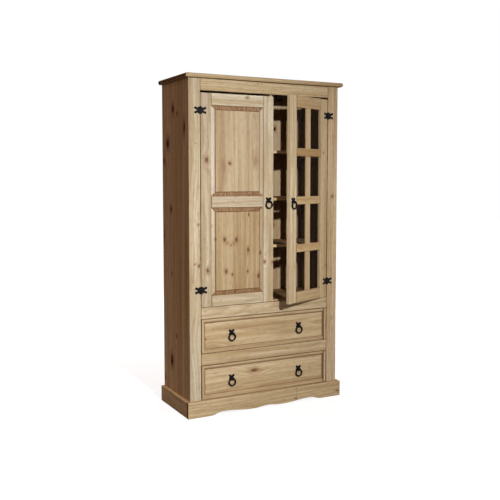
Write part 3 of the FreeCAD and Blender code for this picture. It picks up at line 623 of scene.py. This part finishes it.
def wood_styles():
    """How the pine of each wooden node is cut and worn, and the painted shade and painted light on its faces.
    Their order says where in the tree each is cut.
    """
    styles = {}
    # Painted shade on a front stile's faces toward the opening and the back; its outer edge takes the sides'
    # tone
    for node, outward, inward in (("left_front_stile", "-x", "+x"), ("right_front_stile", "+x", "-x")):
        tints = {outward: OUTER_EDGE, **painted_shade(f"{inward} +y")}
        styles[node] = dict(axes=FRONT_UPRIGHT, tints=tints, shine=DULL)
    styles["left_door_hinge_stile"] = dict(axes=FRONT_UPRIGHT, tints={**painted_shade("-x"), **DOOR_BACK_SHADE})
    for node in ("left_door_closing_stile", "left_door_edge_strip"):
        styles[node] = dict(axes=FRONT_UPRIGHT, tints=DOOR_BACK_SHADE)
    # Painted shade on a front rail's back and on its faces in the gaps above and below
    for node in ("top_front_rail", "middle_front_rail", "drawer_divider_rail"):
        styles[node] = dict(axes=FRONT_LEVEL, lines=end_lines(node), tints=painted_shade("+y +z -z"))
    tints = {**painted_shade("+z -z"), **DOOR_BACK_SHADE}
    for node in ("left_door_top_rail", "left_door_middle_rail", "left_door_bottom_rail"):
        styles[node] = dict(axes=FRONT_LEVEL, lines=end_lines(node), tints=tints)
    for node in ("bottom_front_rail", "rear_plinth"):
        styles[node] = dict(axes=FRONT_LEVEL)
    seam = upright_lines(-FAR, PLINTH_SEAM, SEAM_WAX)
    # Painted shade on the two ends of the front plinth
    styles["front_plinth"] = dict(axes=FRONT_LEVEL, lines=seam, tints=painted_shade("-x +x"), shine=DULL)
    for drawer in ("upper_drawer", "lower_drawer"):
        bead = f"{drawer}_bead"
        styles[f"{drawer}_front"] = dict(axes=FRONT_LEVEL, lines=bead_lines(bead), tints=SHADE_IN_GAPS)
        styles[bead] = dict(axes=FRONT_LEVEL, crossed="mitred", lines=bevel_shade_lines(bead), tints=SHADE_IN_GAPS)
    # Painted glint on a raised panel's two side bevels, weaker on the lower panel's right bevel
    for node, glint in (("left_door_upper_panel", SLOPE_GLINT), ("left_door_lower_panel", WEAK_SLOPE_GLINT)):
        tints = {"-x": SLOPE_GLINT, "+x": glint, **DOOR_BACK_SHADE}
        styles[node] = dict(axes=FRONT_UPRIGHT, planks=PANEL_STRIP, tilts=SLOPE_TILTS,
                            lines=panel_lines(node), tints=tints)
    for part in ("hinge_stile", "closing_stile", "upright_bar", "glass_beads"):
        styles[f"right_door_{part}"] = dict(axes=FRONT_UPRIGHT, turned=True, tints=DOOR_BACK_SHADE)
    joints = upright_lines(*GLAZED_RAILS, JOINT_WAX)
    for part in ("top_rail", "bottom_rail", "cross_bars"):
        styles[f"right_door_{part}"] = dict(axes=FRONT_LEVEL, turned=True, lines=joints, tints=DOOR_BACK_SHADE)
    # Painted shade on the inner face of each side
    for node, inward in (("left_side_panel", "+x"), ("right_side_panel", "-x")):
        styles[node] = dict(axes=SIDE_UPRIGHT, planks=SIDE_STRIP, tints=painted_shade(inward), shine=DULL)
    for node in ("left_plinth", "right_plinth"):
        styles[node] = dict(axes=SIDE_LEVEL, shine=DULL)
    # Painted shade on the top's underside; its sawn ends are a darker waxed tone
    tints = {"-x": WAXED_END, "+x": WAXED_END, **painted_shade("-z")}
    styles["top_board"] = dict(axes=FLAT_WIDE, planks=TOP_STRIP, tints=tints, shine=DULL)
    styles["back_boards"] = dict(axes=FRONT_UPRIGHT, planks=BACK_BOARD, shine=DULL)
    # Painted light on the front edges of shelves, floor and base, painted shade on their upper and lower
    # faces
    tints = {"-y": LIT_SHELF_EDGE, "+z": SHADED_SHELF_TOP, **painted_shade("-z")}
    for node in ("shelves", "cupboard_floor", "base_panel"):
        styles[node] = dict(axes=FLAT_WIDE, planks=SHELF_STRIP, tints=tints, shine=DULL)
    for node in ("shelf_battens", "drawer_runners"):
        styles[node] = dict(axes=FLAT_DEEP, shine=DULL)
    for node in ("upper_drawer_box", "lower_drawer_box"):
        styles[node] = dict(axes=FLAT_DEEP, crossed="back", shine=DULL)
    return styles


def dress(node, material):
    """Give a CAD node its one material."""
    slots = nodes[node].data.materials
    slots.clear()
    slots.append(material)


def dress_wood():
    """Each wooden node gets pine of its own, cut from a different place in the tree."""
    for seed, (node, style) in enumerate(wood_styles().items(), start=1):
        level = 1.0 + BOARD_VARIETY * math.sin(seed * TONE_STEP)
        tone = [level * part for part in TONES_AND_SHEEN.get(node, PLAIN)]
        dress(node, pine(node, seed=seed, tone=tone, knots=knots_of(node), **style))


def dress_fittings():
    """Iron on hinges, pulls and strikes, glass in the door, plastic on the catches."""
    black = iron()
    for node in nodes:
        if node.endswith(("hinge_leaves", "hinge_pins", "pull_plate", "pull_plates", "ring", "strike")):
            dress(node, black)
    dress("right_door_glass", glass())
    dress("door_catches", plastic())


def lamp(name, place, target, size, watts, spread=180):
    """Round soft lamp that points at a target; spread in degrees."""
    light = bpy.data.lights.new(name, "AREA")
    light.shape = "DISK"
    light.size = size
    light.energy = watts
    light.spread = math.radians(spread)
    item = bpy.data.objects.new(name, light)
    scene.collection.objects.link(item)
    item.location = place
    item.rotation_euler = (Vector(target) - item.location).to_track_quat("-Z", "Y").to_euler()


def seen_directly(g):
    """1 for rays that show the background: to the camera, mirrored or through glass."""
    path = g.add("ShaderNodeLightPath").outputs
    seen = g.math("MAXIMUM", path["Is Camera Ray"], path["Is Glossy Ray"])
    return g.math("MAXIMUM", seen, path["Is Transmission Ray"])


# Strength of the fill from the front and from everywhere else, the directions between which it changes, as
# parts along the y axis, and its colour
FILL_FRONT = 0.08
FILL_ROUND = 0.245
FILL_TURN = (-0.95, -0.35)
FILL = (1.0, 0.7, 0.58, 1.0)


def world_light():
    """White where it shows, a low fill where it lights, lowest from the front."""
    world = bpy.data.worlds.new("studio")
    scene.world = world
    world.use_nodes = True
    g = Graph(world.node_tree)
    background = world.node_tree.nodes["Background"]
    seen = seen_directly(g)
    toward = g.split(g.add("ShaderNodeTexCoord").outputs["Generated"])[1]
    fill = g.smooth(toward, *FILL_TURN, FILL_FRONT, FILL_ROUND)
    g.feed(background.inputs["Strength"], g.math("MAXIMUM", fill, seen))
    g.feed(background.inputs["Color"], g.mix(seen, FILL, WHITE))


# The floor's width, its colour under light, its glow near the cabinet, and the distances between which that
# grows to white
FLOOR_WIDTH = 30.0
FLOOR_GREY = (0.36, 0.36, 0.36, 1.0)
FLOOR_GLOW = 0.81
GLOW_SPAN = (0.4, 2.6)


def floor():
    """Pale floor that fades to white away from the cabinet and keeps its shadow."""
    bpy.ops.mesh.primitive_plane_add(size=FLOOR_WIDTH, location=(0.0, 0.0, 0.0))
    plane = bpy.context.object
    plane.name = "floor"
    material, g, shader = new_material("pale_floor")
    material.node_tree.nodes.remove(shader)
    seen = seen_directly(g)
    place = g.vector("MULTIPLY", g.add("ShaderNodeTexCoord").outputs["Object"], (1.0, 1.0, 0.0))
    away = g.add("ShaderNodeVectorMath", {0: place}, operation="LENGTH").outputs["Value"]
    white = g.math("MULTIPLY", g.smooth(away, *GLOW_SPAN, FLOOR_GLOW, 1.0), seen)
    glow = g.add("ShaderNodeEmission", {"Strength": white})
    pale = g.add("ShaderNodeBsdfDiffuse", {"Color": FLOOR_GREY})
    both = g.add("ShaderNodeAddShader", {0: glow.outputs[0], 1: pale.outputs[0]})
    g.feed(material.node_tree.nodes["Material Output"].inputs["Surface"], both.outputs[0])
    plane.data.materials.append(material)


# The camera's place, how far it looks down and to the right, in degrees, and its lens
VIEWPOINT = (-2.0107, -4.0049, 1.3)
LOOK_DOWN = 4.417
LOOK_RIGHT = 27.732
SENSOR_WIDTH = 36.0
FOCAL_LENGTH = 53.19
LENS_SHIFT = -0.03


def camera():
    """Viewpoint of the photograph: left of the cabinet, a little above its middle."""
    lens = bpy.data.cameras.new("view")
    lens.sensor_width = SENSOR_WIDTH
    lens.lens = FOCAL_LENGTH
    lens.shift_y = LENS_SHIFT
    item = bpy.data.objects.new("view", lens)
    scene.collection.objects.link(item)
    item.location = VIEWPOINT
    item.rotation_euler = (math.radians(90.0 - LOOK_DOWN), 0.0, math.radians(-LOOK_RIGHT))
    scene.camera = item


dress_wood()
dress_fittings()
lamp("key", place=(-0.5, -3.78, 1.96), target=(-0.75, -0.38, 0.8), size=0.1, watts=34.0, spread=90)
lamp("back", place=(1.9, 2.8, 2.3), target=(0.0, 0.0, 0.9), size=1.2, watts=60.0)
world_light()
floor()
camera()
scene.view_settings.view_transform = "Standard"
